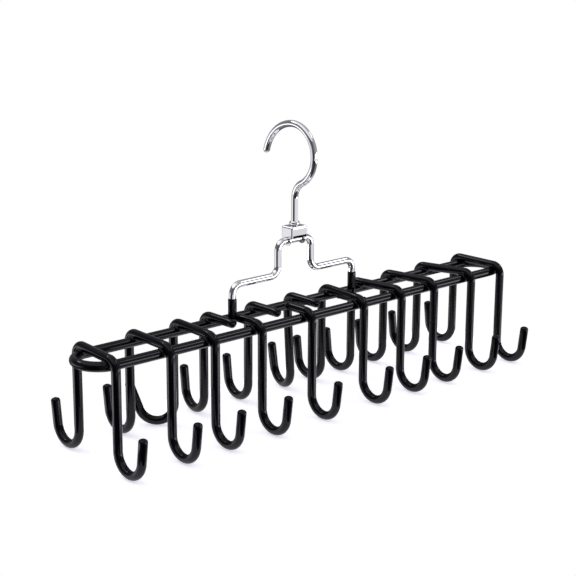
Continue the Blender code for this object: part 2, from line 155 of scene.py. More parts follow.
# Fineness of the meshes
WIRE_SIDES = 20
CHROME_SIDES = 28
COLLAR_SIDES = 40
SLEEVE_SIDES = 32
CUTTER_SIDES = 48
CURL_STEPS = 30
BEND_STEPS = 12
ARC_STEPS = 60
BULGE_STEPS = 14
TAB_STEPS = 40
LOOP_STEPS = 28
FLOOR_STEPS = 16
STRAIGHT_STEP = 8.0 * MM

# How far a direction may point along an axis for that axis to still guide its side directions
NEARLY_ALONG = 0.9

# Heights from the rod seat, and the stem's place along Y
CROWN_HEIGHT = CHROME_WIRE / 2
HOOK_CENTRE_HEIGHT = CROWN_HEIGHT - ROD_HOOK_RADIUS
STEM_BEND_RISE = math.sqrt((ROD_HOOK_RADIUS + STEM_BEND_RADIUS) ** 2 - (STEM_BEND_RADIUS + CROWN_OFFSET) ** 2)
STEM_TOP_HEIGHT = HOOK_CENTRE_HEIGHT - STEM_BEND_RISE
SADDLE_TOP_HEIGHT = STEM_TOP_HEIGHT - STEM_LENGTH
BAR_HEIGHT = SADDLE_TOP_HEIGHT - BAR_DROP
RAIL_HEIGHT = BAR_HEIGHT - BAIL_BAR_HEIGHT
CROSSBAR_HEIGHT = RAIL_HEIGHT + BAR_RISE
STEM_Y = -CROWN_OFFSET

# Floor: its distance below the curls and how far it reaches beyond the rack
FLOOR_CLEARANCE = 0.4 * MM
FLOOR_MARGIN = 18.0 * MM

# Camera, fitted to the photograph's lines: place and near limit in metres, angles in degrees, lens and sensor in
# millimetres
CAMERA_PLACE = (-0.73114, -0.79844, 0.16502)
CAMERA_YAW = 42.304
CAMERA_PITCH = 14.9605
CAMERA_ROLL = 0.305
CAMERA_LENS = 91.18
CAMERA_SENSOR = 36.0
CAMERA_NEAR = 0.01

# Values between which most of a noise texture lies, and the places of a Mix node's colour sockets
NOISE_RANGE = (0.3, 0.7)
MIX_COLOUR_INPUTS = (6, 7)
MIX_COLOUR_OUTPUT = 2


def arc(centre, radius, start, end, steps):
    """Points on an arc in a plane, from one angle to another in degrees, both ends included."""
    points = []
    for step in range(steps + 1):
        angle = math.radians(start + (end - start) * step / steps)
        points.append((centre[0] + radius * math.cos(angle), centre[1] + radius * math.sin(angle)))
    return points


def with_steps(points, closed=False):
    """The same path, with its long straight stretches divided."""
    path = []
    count = len(points)
    for place in range(count if closed else count - 1):
        start, end = points[place], points[(place + 1) % count]
        pieces = max(1, round((end - start).length / STRAIGHT_STEP))
        path += [start.lerp(end, piece / pieces) for piece in range(pieces)]
    return path if closed else path + [points[-1]]


def frames_along(points, closed):
    """A pair of side directions at each point of a path, carried along it without twist."""
    count = len(points)
    tangents = []
    for place in range(count):
        before = points[place - 1] if closed or place else points[place]
        after = points[(place + 1) % count] if closed or place < count - 1 else points[place]
        tangents.append((after - before).normalized())
    guide = Vector((0, 0, 1)) if abs(tangents[0].z) < NEARLY_ALONG else Vector((1, 0, 0))
    side = tangents[0].cross(guide).normalized()
    sides = [side]
    for place in range(1, count):
        turn = tangents[place - 1].rotation_difference(tangents[place])
        side = turn @ side
        side = (side - tangents[place] * side.dot(tangents[place])).normalized()
        sides.append(side)
    return [(side, tangent.cross(side)) for side, tangent in zip(sides, tangents)]


def new_object(name, form):
    """An object from a bmesh, smoothly shaded."""
    mesh = bpy.data.meshes.new(name)
    form.to_mesh(mesh)
    form.free()
    mesh.shade_smooth()
    made = bpy.data.objects.new(name, mesh)
    bpy.context.collection.objects.link(made)
    return made


def add_tube(form, rings, sides, closed=False):
    """Adds a tube through rings, each a place and a radius, to a bmesh, with a map that runs along the wire."""
    points = [point for point, radius in rings]
    directions = frames_along(points, closed)
    along = [0.0]
    for place in range(1, len(points)):
        along.append(along[-1] + (points[place] - points[place - 1]).length)
    loops = []
    for (point, radius), (side, up) in zip(rings, directions):
        ring = []
        for place in range(sides):
            angle = math.tau * place / sides
            ring.append(form.verts.new(point + (side * math.cos(angle) + up * math.sin(angle)) * radius))
        loops.append(ring)
    layer = form.loops.layers.uv.get("wire_map") or form.loops.layers.uv.new("wire_map")
    girth = math.tau * max(radius for point, radius in rings)
    total = along[-1] + (points[0] - points[-1]).length
    pairs = list(zip(range(len(rings) - 1), range(1, len(rings))))
    if closed:
        pairs.append((len(rings) - 1, 0))
    for low, high in pairs:
        far = total if closed and high == 0 else along[high]
        for place in range(sides):
            after = (place + 1) % sides
            face = form.faces.new((loops[low][place], loops[low][after], loops[high][after], loops[high][place]))
            around = (girth * place / sides, girth * (place + 1) / sides)
            for corner, spot in zip(face.loops, ((along[low], around[0]), (along[low], around[1]),
                                                 (far, around[1]), (far, around[0]))):
                corner[layer].uv = (spot[0] / MM, spot[1] / MM)
    if not closed:
        form.faces.new(loops[0][::-1])
        form.faces.new(loops[-1])


def rounded_tip(point, direction, radius):
    """Rings of a cut and dipped wire end: nearly flat, with a well rounded rim."""
    rings = []
    for degrees in TIP_RIM_ANGLES:
        angle = math.radians(degrees)
        out = radius - TIP_ROUNDING + TIP_ROUNDING * math.cos(angle)
        rings.append((point + direction * (TIP_ROUNDING * math.sin(angle) - TIP_ROUNDING - TIP_CROWN), out))
    flat = rings[-1][1]
    for share in TIP_CROWN_SHARES:
        rise = TIP_CROWN * (1 - share ** 2)
        rings.append((point + direction * (rise - TIP_CROWN), flat * share))
    return rings


def tube_rings(points, radius, tip_at_start=True, tip_at_end=True):
    """Rings along a path whose free ends are rounded within its length."""
    path = with_steps(points)
    rings = [(point, radius) for point in path]
    clear = (TIP_ROUNDING + TIP_CROWN) * TIP_MARGIN
    if tip_at_end:
        direction = (path[-1] - path[-2]).normalized()
        rings = [ring for ring in rings if (path[-1] - ring[0]).length > clear]
        rings += rounded_tip(path[-1], direction, radius)
    if tip_at_start:
        direction = (path[0] - path[1]).normalized()
        rings = [ring for ring in rings if (path[0] - ring[0]).length > clear]
        rings = rounded_tip(path[0], direction, radius)[::-1] + rings
    return rings


def nearest_on(stretches, point):
    """The place nearest to a point on a path's stretches."""
    best, least = None, math.inf
    for start, end in stretches:
        line = end - start
        share = min(1.0, max(0.0, (point - start).dot(line) / line.length_squared))
        spot = start + line * share
        distance = (spot - point).length
        if distance < least:
            best, least = spot, distance
    return best


def halved(low, high, is_low, rounds=22):
    """The value between two others where a test changes its answer."""
    for _ in range(rounds):
        middle = (low + high) / 2
        low, high = (middle, high) if is_low(middle) else (low, middle)
    return (low + high) / 2


def add_weld_fillet(form, rail_place, rail_axis, path, stations=44, steps=5):
    """Adds the coating that gathers in the corner between a rail and the hook wire that is welded over it.

    It is the corner that a ball rolling round the crossing can't reach. The ball's middle keeps its distance from
    the rail's axis and from the wire's path, and each station is a turn round the rail on one side of the wire."""
    up = Vector((0, 0, 1))
    across = up.cross(rail_axis)
    near = [(start, end) for start, end in zip(path, path[1:])
            if min((start - rail_place).length, (end - rail_place).length) < FILLET_REACH]
    from_rail, from_wire = RAIL_WIRE / 2 + FILLET_RADIUS, HOOK_WIRE / 2 + FILLET_RADIUS

    def middle_of_ball(along, angle):
        """Place of the ball's middle, by its distance along the rail and its angle round it from the top."""
        return rail_place + rail_axis * along + (across * math.sin(angle) + up * math.cos(angle)) * from_rail

    def is_too_near(along, angle):
        """Whether the ball would cut into the wire."""
        point = middle_of_ball(along, angle)
        return (nearest_on(near, point) - point).length < from_wire

    def abreast(angle):
        """Distance along the rail at which the ball is level with the wire's path."""
        along = 0.0
        for _ in range(FILLET_SEARCH_ROUNDS):
            along = (nearest_on(near, middle_of_ball(along, angle)) - rail_place).dot(rail_axis)
        return along

    ends = []
    for side in (-1, 1):
        last = 0.0
        while abs(last) < math.pi and is_too_near(abreast(last), last):
            last += side * FILLET_SEARCH_STEP
        before = last - side * FILLET_SEARCH_STEP
        ends.append(halved(before, last, lambda angle: is_too_near(abreast(angle), angle)))
    loops = []
    for station in range(stations):
        turn = math.tau * (station + 0.5) / stations
        angle = (ends[0] + ends[1]) / 2 + (ends[1] - ends[0]) / 2 * math.cos(turn)
        side = 1 if math.sin(turn) > 0 else -1
        start = abreast(angle)
        reach = halved(0.0, from_wire * 2, lambda way: is_too_near(start + side * way, angle))
        along = start + side * reach
        ball = middle_of_ball(along, angle)
        to_rail = (rail_place + rail_axis * along - ball).normalized()
        to_wire = (nearest_on(near, ball) - ball).normalized()
        spots = [ball + to_rail.slerp(to_wire, step / steps) * FILLET_RADIUS for step in range(steps + 1)]
        spots.append(ball + (to_rail + to_wire).normalized() * (FILLET_RADIUS + FILLET_DEPTH))
        loops.append([form.verts.new(spot) for spot in spots])
    for station in range(stations):
        here, after = loops[station], loops[(station + 1) % stations]
        for level in range(len(here)):
            over = (level + 1) % len(here)
            form.faces.new((here[level], here[over], after[over], after[level]))


def add_turned(form, outline, place, axis, sides):
    """Adds a ring turned about an axis through a place, from a closed outline of (radius, distance) points."""
    guide = Vector((1, 0, 0)) if abs(axis.x) < NEARLY_ALONG else Vector((0, 1, 0))
    side = axis.cross(guide).normalized()
    up = axis.cross(side)
    loops = []
    for turn in range(sides):
        angle = math.tau * turn / sides
        out = side * math.cos(angle) + up * math.sin(angle)
        loops.append([form.verts.new(place + out * radius + axis * along) for radius, along in outline])
    count = len(outline)
    for turn in range(sides):
        here, after = loops[turn], loops[(turn + 1) % sides]
        for level in range(count):
            form.faces.new((here[level], after[level], after[(level + 1) % count], here[(level + 1) % count]))


class Surface:
    """A Principled material whose look is built up node by node."""

    def __init__(self, name, colour, roughness, metallic=0.0):
        self.material = bpy.data.materials.new(name)
        self.material.use_nodes = True
        self.tree = self.material.node_tree
        self.shader = self.tree.nodes["Principled BSDF"]
        self.set("Base Color", (*colour, 1.0))
        self.set("Roughness", roughness)
        self.set("Metallic", metallic)

    def set(self, socket, value):
        """Gives one of the shader's sockets a plain value."""
        self.shader.inputs[socket].default_value = value

    def node(self, kind, **values):
        """A new node, with values for its sockets and its other settings."""
        made = self.tree.nodes.new(kind)
        for key, value in values.items():
            if key in made.inputs:
                made.inputs[key].default_value = value
            else:
                setattr(made, key, value)
        return made

    def link(self, source, output, target, socket):
        """Links an output of one node to a socket of another."""
        self.tree.links.new(source.outputs[output], target.inputs[socket])

    def noise(self, scale, detail=3.0, stretch=None):
        """Noise over the object, or stretched along the wire's own map."""
        if stretch:
            place, output = self.node("ShaderNodeUVMap", uv_map="wire_map"), "UV"
            sized = self.node("ShaderNodeMapping", Scale=(*stretch, 1.0))
        else:
            place, output = self.node("ShaderNodeTexCoord"), "Object"
            sized = self.node("ShaderNodeMapping")
        self.link(place, output, sized, "Vector")
        made = self.node("ShaderNodeTexNoise", Scale=scale, Detail=detail)
        self.link(sized, "Vector", made, "Vector")
        return made

    def roughen(self, noise, low, high):
        """Roughness between two values, as a noise goes."""
        least, most = NOISE_RANGE
        made = self.node("ShaderNodeMapRange", **{"From Min": least, "From Max": most, "To Min": low, "To Max": high})
        self.link(noise, "Fac", made, "Value")
        self.link(made, "Result", self.shader, "Roughness")

    def tint(self, noise, low, high):
        """Base colour between two colours, as a noise goes."""
        made = self.node("ShaderNodeMix", data_type="RGBA")
        for socket, colour in zip(MIX_COLOUR_INPUTS, (low, high)):
            made.inputs[socket].default_value = (*colour, 1.0)
        self.link(noise, "Fac", made, "Factor")
        self.link(made, MIX_COLOUR_OUTPUT, self.shader, "Base Color")

    def bump(self, noises, strengths, distance):
        """Bump from several noises laid over each other."""
        before = None
        for noise, strength in zip(noises, strengths):
            made = self.node("ShaderNodeBump", Strength=strength, Distance=distance)
            self.link(noise, "Fac", made, "Height")
            if before:
                self.link(before, "Normal", made, "Normal")
            before = made
        self.link(before, "Normal", self.shader, "Normal")


def black_coating_surface(name):
    """Glossy black plastic that the wire was dipped in: slight waves, faint orange peel and dull patches."""
    surface = Surface(name, (0.0015, 0.0012, 0.0030), 0.2)
    surface.set("IOR", 1.5)
    surface.set("Specular IOR Level", 0.25)
    patches = surface.noise(90.0)
    peel = surface.noise(900.0, 2.0)
    waves = surface.noise(150.0, 1.0)
    surface.roughen(patches, 0.08, 0.14)
    surface.tint(patches, (0.0008, 0.0006, 0.0020), (0.0022, 0.0018, 0.0040))
    surface.bump((waves, peel), (0.10, 0.04), 0.0004)
    return surface.material


def chrome_surface(name, drawn=True):
    """Bright chromium plate over drawn wire or stamped sheet, with faint lines and cloudy spots."""
    surface = Surface(name, (0.87, 0.87, 0.90), 0.04, 1.0)
    clouds = surface.noise(120.0)
    surface.roughen(clouds, 0.02, 0.06)
    surface.tint(clouds, (0.84, 0.845, 0.845), (0.90, 0.905, 0.90))
    lines = surface.noise(1.0, 2.0, stretch=(0.05, 4.0)) if drawn else surface.noise(1500.0, 2.0)
    pits = surface.noise(2200.0, 1.0)
    surface.bump((lines, pits), (0.008, 0.003), 0.0002)
    return surface.material


def painted_shade_plate_surface(name):
    """A duller, darker plate for the saddle's inner faces, whose dark colour is painted shade of the hollow."""
    surface = Surface(name, (0.10, 0.10, 0.11), 0.4, 1.0)
    clouds = surface.noise(500.0)
    surface.roughen(clouds, 0.32, 0.5)
    surface.tint(clouds, (0.07, 0.07, 0.08), (0.14, 0.14, 0.15))
    return surface.material


coating = black_coating_surface("dipped_black_coating")
wire_chrome = chrome_surface("plated_wire")
sheet_chrome = chrome_surface("plated_sheet", drawn=False)
# Darker plate for the saddle's inside: painted shade of its hollow
painted_shade_plate = painted_shade_plate_surface("plated_sheet_painted_shade")


def dress(piece, node, body, material):
    """Puts a finer piece in a CAD node's place."""
    piece.data.materials.clear()
    piece.data.materials.append(material)
    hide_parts(node)
    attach(piece, body)
    return piece


def make_tube(name, rings, sides, closed=False):
    """An object that is one tube through rings."""
    form = bmesh.new()
    add_tube(form, rings, sides, closed)
    return new_object(name, form)


def make_top_hook():
    """The stem, its small bend and the two arcs over the rod."""
    head_top = SADDLE_TOP_HEIGHT - SADDLE_SHEET - RUNNING_GAP
    head_low = head_top - STEM_HEAD_HEIGHT
    radius = CHROME_WIRE / 2
    edge = [(STEM_HEAD_HEIGHT / 4 * up, STEM_HEAD_DIAMETER / 2 * out) for up, out in STEM_HEAD_EDGE]
    meeting = math.degrees(math.atan2(STEM_BEND_RISE, STEM_BEND_RADIUS + CROWN_OFFSET))
    flat = arc((-STEM_BEND_RADIUS, STEM_TOP_HEIGHT), STEM_BEND_RADIUS, 0, meeting, BEND_STEPS)
    flat += arc((CROWN_OFFSET, HOOK_CENTRE_HEIGHT), ROD_HOOK_RADIUS, meeting + 180, 90, ARC_STEPS)[1:]
    flat += arc((CROWN_OFFSET, CROWN_HEIGHT - ROD_HOOK_REAR_RADIUS), ROD_HOOK_REAR_RADIUS, 90,
                ROD_HOOK_END_ANGLE, ARC_STEPS // 2)[1:]
    path = [Vector((0, STEM_Y, head_top + RUNNING_GAP))] + [Vector((0, STEM_Y + y, z)) for y, z in flat]
    head = [(head_low + up, out) for up, out in edge] + [(head_top - up, out) for up, out in edge[::-1]]
    head.append((head_top + RUNNING_GAP / 4, radius))
    rings = [(Vector((0, STEM_Y, height)), size) for height, size in head]
    rings += tube_rings(path, radius, tip_at_start=False)
    return make_tube("top_hook_wire", rings, CHROME_SIDES)


def make_collar():
    """The bead that was pressed on the stem, with a waist round its middle."""
    bore = CHROME_WIRE / 2 + WELD_GAP
    low = SADDLE_TOP_HEIGHT + RUNNING_GAP
    outer = COLLAR_DIAMETER / 2
    rounding = COLLAR_HEIGHT / 2
    bulge = arc((outer - rounding, rounding), rounding, -90, 90, BULGE_STEPS)
    outline = [(bore, 0.0)] + bulge + [(bore, COLLAR_HEIGHT)]
    form = bmesh.new()
    add_turned(form, outline, Vector((0, STEM_Y, low)), Vector((0, 0, 1)), COLLAR_SIDES)
    return new_object("stem_bead", form)


def make_sheet_box(name, low, high, bevel, segments):
    """A box whose edges are rounded, all but those of its floor."""
    form = bmesh.new()
    bmesh.ops.create_cube(form, size=1.0)
    size = [high[axis] - low[axis] for axis in range(3)]
    centre = [(high[axis] + low[axis]) / 2 for axis in range(3)]
    bmesh.ops.scale(form, vec=size, verts=form.verts)
    bmesh.ops.translate(form, vec=centre, verts=form.verts)
    if bevel:
        rounded = [edge for edge in form.edges if max(vert.co.z for vert in edge.verts) > centre[2]]
        bmesh.ops.bevel(form, geom=rounded, offset=bevel, segments=segments, profile=0.5, affect="EDGES")
    return new_object(name, form)


def make_rod_along(name, radius, centre, length, axis):
    """A cylinder along X or Z, used as a cutter."""
    form = bmesh.new()
    bmesh.ops.create_cone(form, cap_ends=True, segments=CUTTER_SIDES, radius1=radius, radius2=radius, depth=length)
    made = new_object(name, form)
    turn = {"X": Matrix.Rotation(math.pi / 2, 4, "Y"), "Z": Matrix.Identity(4)}[axis]
    made.data.transform(Matrix.Translation(centre) @ turn)
    return made


def combine(target, other, operation):
    """Adds another form to the target, or cuts it away, and removes it."""
    modifier = target.modifiers.new(other.name, "BOOLEAN")
    modifier.operation = operation
    modifier.solver = "EXACT"
    modifier.object = other
    bake_modifiers(target)
    bpy.data.objects.remove(other, do_unlink=True)


def bake_modifiers(target):
    """Puts the result of the modifiers in the mesh itself."""
    bpy.context.view_layer.update()
    shape = bpy.data.meshes.new_from_object(target.evaluated_get(bpy.context.evaluated_depsgraph_get()))
    target.modifiers.clear()
    target.data = shape


def make_saddle():
    """The folded swivel saddle: top, skirts, cheeks and the tabs curled round the bail's bar."""
    half_width, half_depth = SADDLE_WIDTH / 2, SADDLE_DEPTH / 2
    cheek_low = SADDLE_TOP_HEIGHT - SADDLE_HEIGHT
    skirt_low = SADDLE_TOP_HEIGHT - SKIRT_HEIGHT
    overrun = 2.0 * MM
    inner_width, inner_depth = half_width - SADDLE_SHEET, half_depth - SADDLE_SHEET
    saddle = make_sheet_box("folded_saddle", (-half_width, STEM_Y - half_depth, cheek_low),
                            (half_width, STEM_Y + half_depth, SADDLE_TOP_HEIGHT), SADDLE_FOLD_RADIUS, 7)
    combine(saddle, make_sheet_box("hollow", (-inner_width, STEM_Y - inner_depth, cheek_low - overrun),
                                   (inner_width, STEM_Y + inner_depth, SADDLE_TOP_HEIGHT - SADDLE_SHEET),
                                   SADDLE_FOLD_RADIUS - SADDLE_SHEET, 4), "DIFFERENCE")
    combine(saddle, make_sheet_box("window", (-inner_width, STEM_Y - half_depth - overrun, cheek_low - overrun),
                                   (inner_width, STEM_Y + half_depth + overrun, skirt_low), 0.0, 1), "DIFFERENCE")
    hole = CHROME_WIRE / 2 + RUNNING_GAP
    outer = hole + TAB_SHEET
    profile = arc((STEM_Y, BAR_HEIGHT), outer, TAB_START_ANGLE, TAB_END_ANGLE, TAB_STEPS)
    profile += arc((STEM_Y, BAR_HEIGHT), hole, TAB_END_ANGLE, TAB_START_ANGLE, TAB_STEPS)
    for side in (-1, 1):
        form = bmesh.new()
        low, high = sorted((side * half_width, side * inner_width))
        face = form.faces.new([form.verts.new((low, y, z)) for y, z in profile])
        grown = bmesh.ops.extrude_face_region(form, geom=[face])
        moved = [item for item in grown["geom"] if isinstance(item, bmesh.types.BMVert)]
        bmesh.ops.translate(form, vec=(high - low, 0, 0), verts=moved)
        bmesh.ops.recalc_face_normals(form, faces=form.faces)
        combine(saddle, new_object("tab", form), "UNION")
    combine(saddle, make_rod_along("bar_hole", hole, (0, STEM_Y, BAR_HEIGHT), SADDLE_WIDTH + overrun, "X"),
            "DIFFERENCE")
    combine(saddle, make_rod_along("stem_hole", hole, (0, STEM_Y, SADDLE_TOP_HEIGHT), SADDLE_SHEET * 2 + overrun,
                                   "Z"), "DIFFERENCE")
    edges = saddle.modifiers.new("soft_edges", "BEVEL")
    edges.width = SADDLE_EDGE_WIDTH
    edges.segments = 2
    edges.limit_method = "ANGLE"
    edges.angle_limit = SADDLE_EDGE_ANGLE
    edges.use_clamp_overlap = True
    bake_modifiers(saddle)
    saddle.data.shade_smooth()
    saddle.data.set_sharp_from_angle(angle=SADDLE_SHARP_ANGLE)
    flats = saddle.modifiers.new("flat_sheet", "WEIGHTED_NORMAL")
    flats.keep_sharp = True
    bake_modifiers(saddle)
    return saddle


def paint_shade_inside(saddle):
    """Gives the saddle's inner faces the darker plate, which is painted shade inside the hollow."""
    saddle.data.materials.append(painted_shade_plate)
    slack = 0.05 * MM
    reach_x = SADDLE_WIDTH / 2 - SADDLE_SHEET + slack
    reach_y = SADDLE_DEPTH / 2 - SADDLE_SHEET + slack
    ceiling = SADDLE_TOP_HEIGHT - SADDLE_SHEET + slack
    for face in saddle.data.polygons:
        if abs(face.center.x) < reach_x and abs(face.center.y - STEM_Y) < reach_y and face.center.z < ceiling:
            face.material_index = 1


def make_bail():
    """The stepped arch of chromed wire."""
    foot, riser = BAIL_FOOT_SPACING / 2, BAIL_RISER_SPACING / 2
    shoulder = BAR_HEIGHT - BAIL_SHOULDER_DROP
    corner, top = BAIL_CORNER_RADIUS, BAIL_TOP_RADIUS
    left_seat = CROSSBAR_HEIGHT - HOOK_WIRE / 2
    right_seat = RAIL_HEIGHT + HOOK_WIRE / 2 + WELD_GAP
    half = (arc((riser - top, BAR_HEIGHT - top), top, 90, 0, BEND_STEPS)
            + arc((riser + corner, shoulder + corner), corner, 180, 270, BEND_STEPS)
            + arc((foot - corner, shoulder - corner), corner, 90, 0, BEND_STEPS))
    flat = [(-foot, left_seat)] + [(-x, z) for x, z in half[::-1]] + half + [(foot, right_seat)]
    path = [Vector((x, STEM_Y, z)) for x, z in flat]
    return make_tube("bail_wire", tube_rings(path, CHROME_WIRE / 2, False, False), CHROME_SIDES)


def hook_half(place, side, twist=0.0, opening=0.0, sideways=0.0):
    """Points of half a hook wire, from its bend over the rail down the leg and round to the tip."""
    leg = RAIL_SPACING / 2 + LEG_OVERHANG
    lean = CURL_LEAN_ANGLE + opening
    bend_centre = (leg - LEG_BEND_RADIUS, CROSSBAR_HEIGHT - LEG_BEND_RADIUS)
    curl_centre = (CURL_RADIUS, RAIL_HEIGHT - HOOK_DROP + CURL_RADIUS)
    points = [Vector((place, side * out, up)) for out, up in arc(bend_centre, LEG_BEND_RADIUS, 90, 0, BEND_STEPS)]
    curl = arc(curl_centre, CURL_RADIUS, 180, 360 - lean, CURL_STEPS)
    rise = RAIL_HEIGHT - HOOK_DROP + TIP_HEIGHT - curl[-1][1]
    curl.append((curl[-1][0] + rise * math.tan(math.radians(lean)), curl[-1][1] + rise))
    turn = math.radians(twist)
    for out, up in curl:
        points.append(Vector((place - out * math.sin(turn), side * (leg + out * math.cos(turn)), up)))
    for point in points:
        point.x += sideways * (CROSSBAR_HEIGHT - point.z) / HOOK_DROP
        point.y += STEM_Y
    return points


def middle_x(node, choose):
    """Middle along X of a CAD node's points that a test picks."""
    xs = [vertex.co.x for vertex in nodes[node].data.vertices if choose(vertex.co)]
    return (min(xs) + max(xs)) / 2


def bend_place(node, side):
    """Where along X a hook wire goes over the rail on one side, read from the CAD node."""
    reach = RAIL_SPACING / 2 + LEG_OVERHANG / 2
    return middle_x(node, lambda co: side * (co.y - STEM_Y) > reach and co.z > RAIL_HEIGHT)


def hook_wire_path(node):
    """The path of a CAD hook wire and the sides that it has hooks on."""
    low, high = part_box(node)
    sides = [side for side, reach in ((-1, STEM_Y - low.y), (1, high.y - STEM_Y)) if reach > RAIL_SPACING]
    twist, opening = REAR_CURL_BENDS.get(node, (0.0, 0.0))
    if len(sides) == 2:
        front, rear = bend_place(node, -1), bend_place(node, 1)
        return hook_half(front, -1)[::-1] + hook_half(rear, 1, twist, opening), sides
    side = sides[0]
    place = bend_place(node, side)
    bar_end = low.y if side == 1 else high.y
    sideways = LAST_SINGLE_LEAN if node == LEANING_WIRE else 0.0
    return [Vector((place, bar_end, CROSSBAR_HEIGHT))] + hook_half(place, side, twist, opening, sideways), sides


def loop_ends():
    """Middles along X of the frame loop's two half rounds."""
    low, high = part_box("frame_loop")
    reach = (RAIL_SPACING + RAIL_WIRE) / 2
    return low.x + reach, high.x - reach


def crossing_on_rail(path, side):
    """Where a hook wire's bar crosses a rail or the loop's half round, and the rail's direction there."""
    left, right = loop_ends()
    for start, end in zip(path, path[1:]):
        if min(start.z, end.z) < CROSSBAR_HEIGHT - CROSSING_DROP:
            continue
        for place in (start, start.lerp(end, 0.25), start.lerp(end, 0.5), start.lerp(end, 0.75)):
            past = min(0.0, place.x - left) + max(0.0, place.x - right)
            rail_y = STEM_Y + side * math.sqrt((RAIL_SPACING / 2) ** 2 - past ** 2)
            if abs(place.y - rail_y) < CROSSING_SLACK:
                spot = Vector((place.x, rail_y, RAIL_HEIGHT))
                return spot, Vector((rail_y - STEM_Y, -past, 0)).normalized() * side
    return None, None


def dress_hook_wires():
    """A finer wire for each hook wire, with the coating's fillets where it lies on the rails."""
    for node in sorted(name for name in nodes if "hook_wire" in name):
        path, sides = hook_wire_path(node)
        path = with_steps(path)
        form = bmesh.new()
        add_tube(form, tube_rings(path, HOOK_WIRE / 2), WIRE_SIDES)
        for side in sides:
            spot, direction = crossing_on_rail(path, side)
            if spot:
                add_weld_fillet(form, spot, direction, path)
        bmesh.ops.recalc_face_normals(form, faces=form.faces)
        wire = new_object(node + "_dipped", form)
        wire.data.set_sharp_from_angle(angle=WIRE_SHARP_ANGLE)
        dress(wire, node, "rack", coating)


def dress_frame_loop():
    """The finer frame loop."""
    radius = RAIL_SPACING / 2
    wire = RAIL_WIRE / 2
    left, right = loop_ends()
    flat = arc((right, STEM_Y), radius, -90, 90, LOOP_STEPS) + arc((left, STEM_Y), radius, 90, 270, LOOP_STEPS)
    path = with_steps([Vector((x, y, RAIL_HEIGHT)) for x, y in flat], closed=True)
    loop = make_tube("frame_loop_dipped", [(point, wire) for point in path], WIRE_SIDES, closed=True)
    dress(loop, "frame_loop", "rack", coating)


def dress_foot_rung():
    """The rung under the right foot, flared where its coating meets the rails."""
    place = BAIL_FOOT_SPACING / 2
    reach = RAIL_SPACING / 2 - RAIL_WIRE / 2 - WELD_GAP / 2
    wire = HOOK_WIRE / 2
    rings = []
    for along in [step - reach for step in RUNG_FLARE_STEPS] + [-reach / 2, 0.0]:
        from_end = along + reach
        flare = RUNG_FLARE * max(0.0, 1 - from_end / RUNG_FLARE_STEPS[-1]) ** 2
        rings.append((Vector((place, STEM_Y + along, RAIL_HEIGHT)), wire + flare))
    rings += [(Vector((place, 2 * STEM_Y - point.y, RAIL_HEIGHT)), radius) for point, radius in rings[-2::-1]]
    dress(make_tube("foot_rung_dipped", rings, WIRE_SIDES), "foot_rung", "rack", coating)


def dress_sleeves():
    """The dipped lower end of each foot, with the rim where the coating stops."""
    for side, node in ((-1, "bail_sleeve_left"), (1, "bail_sleeve_right")):
        low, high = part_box(node)
        radius = (high.x - low.x) / 2
        bore = CHROME_WIRE / 2 + SLEEVE_BORE_GAP
        place = Vector(((low.x + high.x) / 2, STEM_Y, low.z))
        tall = high.z - low.z - SLEEVE_SHORTFALL
        outline = [(bore, 0.0)] + [(radius, tall * share) for share in SLEEVE_WALL_SHARES]
        outline += [(radius - inset * MM, tall - drop * MM) for inset, drop in SLEEVE_RIM] + [(bore, tall)]
        form = bmesh.new()
        add_turned(form, outline, place, Vector((0, 0, 1)), SLEEVE_SIDES)
        dress(new_object(node + "_dipped", form), node, "rack", coating)


dress(make_top_hook(), "top_hook", "hook", wire_chrome)
dress(make_collar(), "stem_collar", "hook", sheet_chrome)
# The saddle's inner faces get the darker plate as painted shade
paint_shade_inside(dress(make_saddle(), "swivel_saddle", "swivel", sheet_chrome))
dress(make_bail(), "bail", "rack", wire_chrome)
dress_hook_wires()
dress_frame_loop()
dress_foot_rung()
dress_sleeves()


def maths(tree, operation, *values):
    """The result of a Math node fed by numbers or sockets."""
    made = tree.nodes.new("ShaderNodeMath")
    made.operation = operation
    for place, value in enumerate(values):
        if isinstance(value, (int, float)):
            made.inputs[place].default_value = value
        else:
            tree.links.new(value, made.inputs[place])
    return made.outputs[0]


def seen_by_eye(tree):
    """A factor that is 1 for camera, glossy and transmission rays."""
    path = tree.nodes.new("ShaderNodeLightPath")
    either = maths(tree, "MAXIMUM", path.outputs["Is Camera Ray"], path.outputs["Is Glossy Ray"])
    return maths(tree, "MAXIMUM", either, path.outputs["Is Transmission Ray"])


